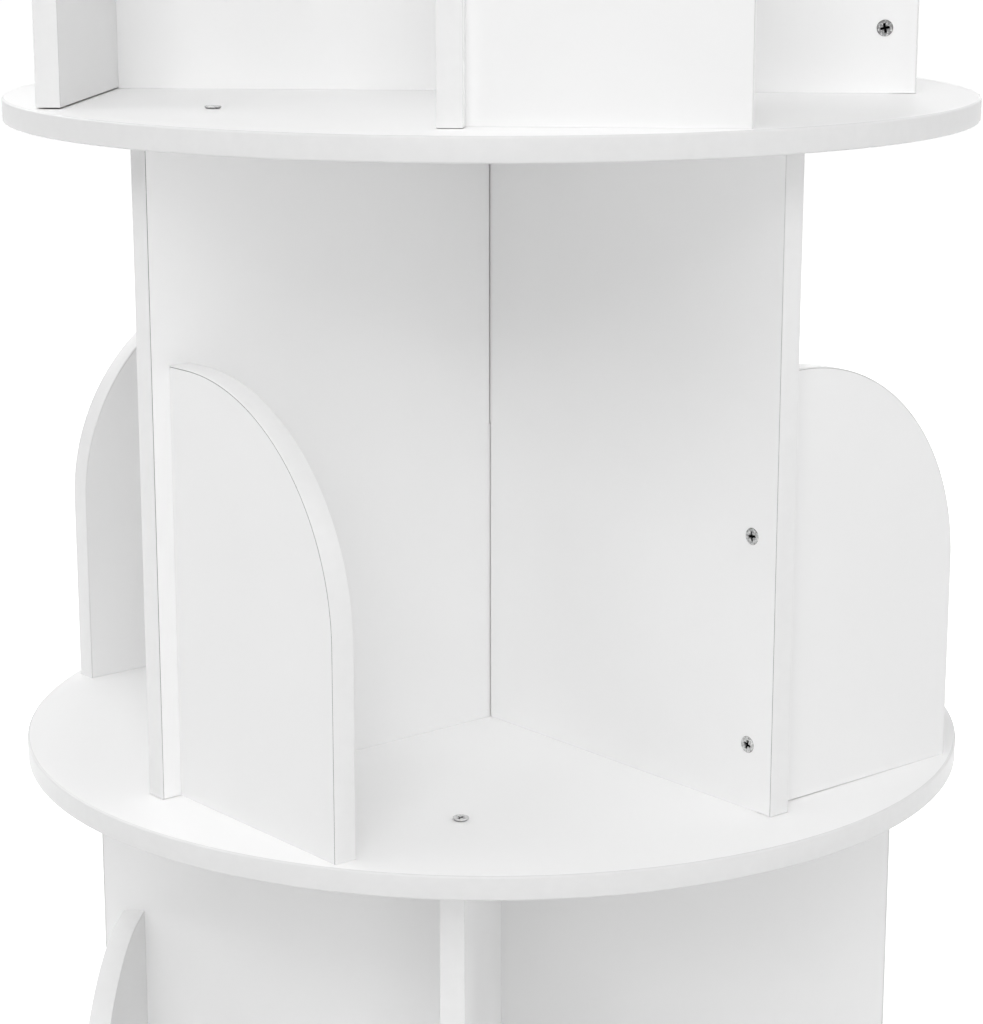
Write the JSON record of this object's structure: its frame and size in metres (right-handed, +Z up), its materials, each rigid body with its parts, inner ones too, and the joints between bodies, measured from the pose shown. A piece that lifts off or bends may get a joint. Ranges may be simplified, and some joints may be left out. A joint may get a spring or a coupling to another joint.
{
  "type": "rotating tower bookcase",
  "caption": "Round white rotating bookcase tower: stacked disc shelves, crossed upright boards with arched dividers, turning on a ball turntable over a fixed base.",
  "frame": {"origin": "on the floor, under the turning axis: the middle of the bottom of the object's box", "axes": "+Z up along the turning axis; the arms of the top tier lie along X and Y, and those of the tier below it lie between them"},
  "size_m": [0.46, 0.46, 1.2829],
  "materials": {
    "board": "white melamine-faced board with banded edges, satin",
    "shelf": "white melamine-faced board with a banded rim, satin",
    "divider": "white melamine-faced board with banded edges, satin",
    "turntable_steel": "zinc-plated pressed steel",
    "cage": "natural nylon cage with steel balls",
    "glide": "black rubber, matt"
  },
  "bodies": {
    "base": {"base_board": "board", "glide_1": "glide", "glide_2": "glide", "glide_3": "glide", "glide_4": "glide", "glide_5": "glide", "glide_6": "glide", "turntable_lower_ring": "turntable_steel"},
    "ball_cage": {"ball_cage": "cage"},
    "tower": {"turntable_upper_ring": "turntable_steel", "shelf_1": "shelf", "shelf_2": "shelf", "shelf_3": "shelf", "shelf_4": "shelf", "shelf_5": "shelf", "tier_1_core_a": "board", "tier_1_core_b": "board", "tier_1_divider_1": "divider", "tier_1_divider_2": "divider", "tier_1_divider_3": "divider", "tier_1_divider_4": "divider", "tier_2_core_a": "board", "tier_2_core_b": "board", "tier_2_divider_1": "divider", "tier_2_divider_2": "divider", "tier_2_divider_3": "divider", "tier_2_divider_4": "divider", "tier_3_core_a": "board", "tier_3_core_b": "board", "tier_3_divider_1": "divider", "tier_3_divider_2": "divider", "tier_3_divider_3": "divider", "tier_3_divider_4": "divider", "tier_4_core_a": "board", "tier_4_core_b": "board", "tier_4_divider_1": "divider", "tier_4_divider_2": "divider", "tier_4_divider_3": "divider", "tier_4_divider_4": "divider"}
  },
  "joints": [
    {"name": "tower_turn", "type": "hinge", "parent": "base", "child": "tower", "pos_m": [0, 0, 0.0289], "axis": [0, 0, 1], "continuous": true},
    {"name": "cage_roll", "type": "hinge", "parent": "base", "child": "ball_cage", "pos_m": [0, 0, 0.0289], "axis": [0, 0, 1], "continuous": true}
  ],
  "couplings": [
    {"joint": "cage_roll", "follows": "tower_turn", "ratio": 0.5}
  ]
}
